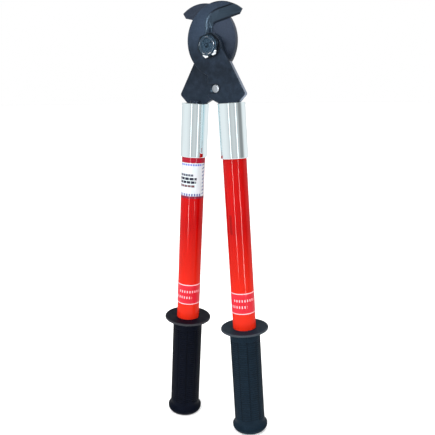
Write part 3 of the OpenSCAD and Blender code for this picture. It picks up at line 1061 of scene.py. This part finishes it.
def jaws():
    """Both forgings. The bevels, worn edges and walls of the two share their finishes."""
    shared = (
        ground_finish("ground_oxide_steel", GROUND_TINT),
        oxide_finish("worn_oxide_edge", EDGE_TANG, EDGE_BLADE, metallic=0.85),
        oxide_finish("oxide_wall_painted_highlight", WALL_HIGHLIGHT, WALL_HIGHLIGHT, metallic=0.85),
        oxide_finish("steep_oxide_painted_shade", STEEP_SHADE_TANG, STEEP_SHADE_BLADE),
    )
    front = oxide_finish("black_oxide_front", TANG, FRONT_BLADE)
    rear = oxide_finish("black_oxide_rear", TANG, REAR_BLADE, centre=REAR_LIGHT_CENTRE, rubbed_lit_box=RUBBED_LIT_PATCH)
    jaw("Jaw_front", "front_jaw", "right", (front, *shared))
    jaw("Jaw_rear", "rear_jaw", "left", (rear, *shared))


def pivot(washer_steel):
    """Bolt, nut, lock ring, washers and stop pin."""
    zinc = metal_finish("bright_zinc", (0.88, 0.94, 0.98), 0.2, 0.18, 900.0)
    dull = metal_finish("dull_zinc", (0.075, 0.13, 0.19), 0.45, 0.85, 650.0)
    # Painted highlights in arcs round the nut's collar
    rim = rim_highlight_finish("zinc_rim_painted_highlight", (0.1, 0.15, 0.2), (0.92, 0.96, 1.0), 4.6)
    # Dark zinc of the nut's flats: painted shade
    shaded_zinc_flats = metal_finish("zinc_painted_shade", (0.03, 0.045, 0.062), 0.5, 0.6, 650.0)
    nylon = plastic_finish("blue_nylon", (0.03, 0.055, 0.085))
    pivot_nut((zinc, dull, rim, shaded_zinc_flats))
    ring_piece(
        "Nut_lock_ring", "nut_lock_ring", nylon, 7.06 * MM, RING_EDGES, 0.1 * MM, MEDIUM)
    pivot_bolt((turned_finish("plain_steel", (0.56, 0.6, 0.63), 0.34), dull))
    for place in ("front", "rear"):
        name, node = "Washer_" + place, place + "_washer"
        ring_piece(name, node, washer_steel, 7.2 * MM, WASHER_EDGES)
    stop_pin((turned_finish("dull_steel", (0.42, 0.46, 0.5), 0.4),))


def handles(washer_steel):
    """Ferrules, screws, tubes and grips."""
    chrome = chrome_finish()
    red = {
        "left": red_finish("red_fibreglass_left", label=span("left_label", HANDLE["left"])[:2]),
        "right": red_finish("red_fibreglass_right", dark_reflection=True),
    }
    guard = span("left_grip", HANDLE["left"])[2] - 0.6 * MM
    for side in SIDES:
        ferrule(side, (chrome,))
        ferrule_screw(side, (washer_steel,))
        tube(side, (red[side],))
        # Each grip gets its own copy of the rubber: the left one painted in shade, the right one painted
        # lighter, as lit
        grip(side, (rubber_finish("black_rubber_lit_and_shaded_" + side, *RUBBER_LIT_AND_SHADED[side], guard),))


def wraps():
    """The printed wraps: a marker band on each tube and the label on the left one."""
    low, high, outer = span("left_marker_band", HANDLE["left"])
    band = band_finish((high - low) / MM, math.tau * outer / MM)
    inner = outer - 0.22 * MM
    for side in SIDES:
        node = side + "_marker_band"
        wrapped("Marker_band_" + side, node, side, (band,), 360, inner, 0.0)
    low, high, outer = span("left_label", HANDLE["left"])
    paper = label_finish((high - low) / MM, math.radians(LABEL_SWEEP) * outer / MM)
    inner = outer - 0.17 * MM
    wrapped("Label_left", "left_label", "left", (paper,), LABEL_SWEEP, inner, 1.5 * MM)


def hidden_finishes():
    """Finishes of the CAD pieces inside the handles, which keep their CAD shape."""
    tones = {
        "shank_bush": ("natural_nylon", (0.8, 0.77, 0.68)),
        "tube_core": ("foam", (0.85, 0.78, 0.55)),
        "end_plug": ("black_nylon", (0.05, 0.05, 0.06)),
    }
    for part, (name, tone) in tones.items():
        material = plastic_finish(name, tone)
        for side in SIDES:
            mesh = NODES[side + "_" + part].data
            mesh.materials.clear()
            mesh.materials.append(material)


def build():
    """Every piece of the tool."""
    washer_steel = metal_finish(
        "dark_washer_steel", (0.025, 0.031, 0.04), 0.42, 0.4, 400.0, metallic=0.8)
    jaws()
    pivot(washer_steel)
    handles(washer_steel)
    wraps()
    hidden_finishes()


# ---------------- studio

# Camera: place in the row frame, heading from +Y, downward tilt and roll
CAMERA_AT = Vector((0.2815, -0.5173, 0.3714))
CAMERA_HEADING = math.radians(28.22)
CAMERA_TILT = math.radians(12.28)
CAMERA_ROLL = math.radians(-0.55)
CAMERA_LENS = 45.5

# Tent seen in reflections: (heading from the front towards the right, brightness)
TENT = [
    (-180, 0.8), (-150, 0.95), (-110, 0.75), (-75, 0.9), (-40, 0.92), (-14, 0.8), (-6, 0.6),
    (5, 0.62), (12, 0.58), (20, 0.66), (36, 0.68), (44, 0.6), (52, 0.62), (63, 0.66),
    (74, 0.56), (82, 0.3), (104, 0.3), (112, 0.6), (122, 0.9), (150, 0.95), (180, 0.8),
]
# Strip lights in the tent: (heading, half width) in degrees
STRIPS = ((-0.5, 2.2), (57.5, 2.2))
# How bright a mirror and a satin surface show them
STRIP_IN_MIRROR, STRIP_IN_SATIN = 2.2, 28.0
# The walls and strips end at the pale ground
GROUND_EDGE = (math.radians(-17.5), math.radians(-14.0))
GROUND_LEVEL, AMBIENT = 0.75, 0.82
# The ground is brighter where it is lit, close to the object
NEAR_GROUND = (math.radians(-34.0), math.radians(-24.0))
NEAR_LEVEL = 1.4
# The tent has a dark gap above its walls, below the bright overhead light: (elevation, brightness)
CEILING = ((20, 1.0), (30, 0.22), (68, 0.22), (78, 1.0), (90, 1.0))
# The gap is only in front of the object: it fades out between these sizes of the direction's y
CEILING_FRONT = (-0.25, 0.1)

SENSOR_WIDTH = 36.0
CLIP_NEAR, CLIP_FAR = 0.01, 60.0
FLOOR_RADII = (0.3, 1.0, 3.0, 10.0, 30.0)
FLOOR_EMISSION = 0.34
# Soft lights: name, place, diameter and power
LAMPS = (("Top", (0.1, -0.5, 1.6), 1.2, 12.0), ("Left", (-1.1, -1.1, 0.7), 0.8, 9.5))
LIT_POINT = Vector((0, 0, 0.24))


def camera():
    """The camera at the object's viewing angle."""
    c, s = math.cos(CAMERA_HEADING), math.sin(CAMERA_HEADING)
    ct, st = math.cos(CAMERA_TILT), math.sin(CAMERA_TILT)
    right, down = Vector((c, s, 0)), Vector((st * s, -st * c, -ct))
    ahead = Vector((-ct * s, ct * c, -st))
    cr, sr = math.cos(CAMERA_ROLL), math.sin(CAMERA_ROLL)
    across, below = cr * right - sr * down, sr * right + cr * down
    data = bpy.data.cameras.new("Camera")
    data.lens = CAMERA_LENS
    data.sensor_width = SENSOR_WIDTH
    data.clip_start, data.clip_end = CLIP_NEAR, CLIP_FAR
    made = add_object("Camera", data)
    made.matrix_world = local_frame(across, -below, -ahead, CAMERA_AT)
    bpy.context.scene.camera = made


def tent_walls(g, heading, strip):
    """Colour of the tent by heading: its bands of brightness and its strip lights."""
    bands = g.node("ValToRGB", {0: g.ramp(heading, -math.pi, math.pi)})
    stops = bands.color_ramp.elements
    stops.remove(stops[-1])
    for i, (angle, level) in enumerate(TENT):
        place = (angle + 180) / 360
        stop = stops[0] if i == 0 else stops.new(place)
        stop.position = place
        stop.color = (level, level, level, 1.0)
    walls = bands.outputs[0]
    for middle, half in STRIPS:
        offset = g.math("ABSOLUTE", g.math("SUBTRACT", heading, math.radians(middle)))
        walls = g.mix(g.math("LESS_THAN", offset, math.radians(half)), walls, strip)
    return walls


def world():
    """A white tent with two strip lights either side of the camera and a grey gap on the right."""
    made = bpy.data.worlds.new("Studio")
    bpy.context.scene.world = made
    made.use_nodes = True
    made.node_tree.nodes.clear()
    g = Graph(made.node_tree)
    x, y, z = g.parts(g.node("TexCoord").outputs["Generated"])
    heading = g.math("ARCTAN2", x, g.times(y, -1.0))
    path = g.node("LightPath").outputs
    strip = g.mix(path["Is Singular Ray"], (STRIP_IN_SATIN,) * 3, (STRIP_IN_MIRROR,) * 3)
    near = g.ramp(z, *(math.sin(a) for a in NEAR_GROUND))
    ground = g.mix(near, (NEAR_LEVEL,) * 3, (GROUND_LEVEL,) * 3)
    above_ground = g.ramp(z, *(math.sin(a) for a in GROUND_EDGE))
    tent = g.mix(above_ground, ground, tent_walls(g, heading, strip))
    ceiling = 1.0
    for (low, before), (high, after) in zip(CEILING, CEILING[1:]):
        share = g.ramp(z, math.sin(math.radians(low)), math.sin(math.radians(high)), 1.0, after / before)
        ceiling = g.times(share, ceiling)
    shaded = g.node("VectorMath", {0: tent, 1: ceiling}, operation="MULTIPLY").outputs[0]
    tent = g.mix(g.ramp(y, *CEILING_FRONT), shaded, tent)
    seen = g.mix(path["Is Diffuse Ray"], tent, (AMBIENT,) * 3)
    seen = g.mix(path["Is Camera Ray"], seen, (1.0, 1.0, 1.0))
    light, out = g.node("Background", {"Color": seen}), g.node("OutputWorld")
    g.tree.links.new(light.outputs[0], out.inputs[0])


def soft_light(name, at, size, power):
    """Round area light that points at the object and is not seen itself."""
    data = bpy.data.lights.new(name, "AREA")
    data.shape = "DISK"
    data.size = size
    data.energy = power
    made = add_object(name, data)
    made.location = at
    made.rotation_mode = "QUATERNION"
    made.rotation_quaternion = (Vector(at) - LIT_POINT).to_track_quat("Z", "Y")
    made.visible_camera = False
    made.visible_glossy = False


def floor():
    """Large pale floor."""
    shape = Shape()
    rings = [shape.ring(circle(r, 0.0, COARSE)) for r in FLOOR_RADII]
    shape.loft(rings)
    shape.cap(rings[0], (0, 0, 0))
    mesh = bpy.data.meshes.new("Floor")
    mesh.from_pydata(shape.points, [], shape.faces)
    pale = Paint(
        "pale_floor", roughness=0.9, Base_Color=(0.93, 0.93, 0.93, 1), Specular_IOR_Level=0.1,
        Emission_Color=(1, 1, 1, 1), Emission_Strength=FLOOR_EMISSION)
    mesh.materials.append(pale.material)
    made = add_object("Floor", mesh)
    made.visible_glossy = False


def studio():
    scene = bpy.context.scene
    scene.view_settings.view_transform = "Standard"
    scene.view_settings.look = "None"
    world()
    floor()
    for lamp in LAMPS:
        soft_light(*lamp)
    camera()


build()
studio()
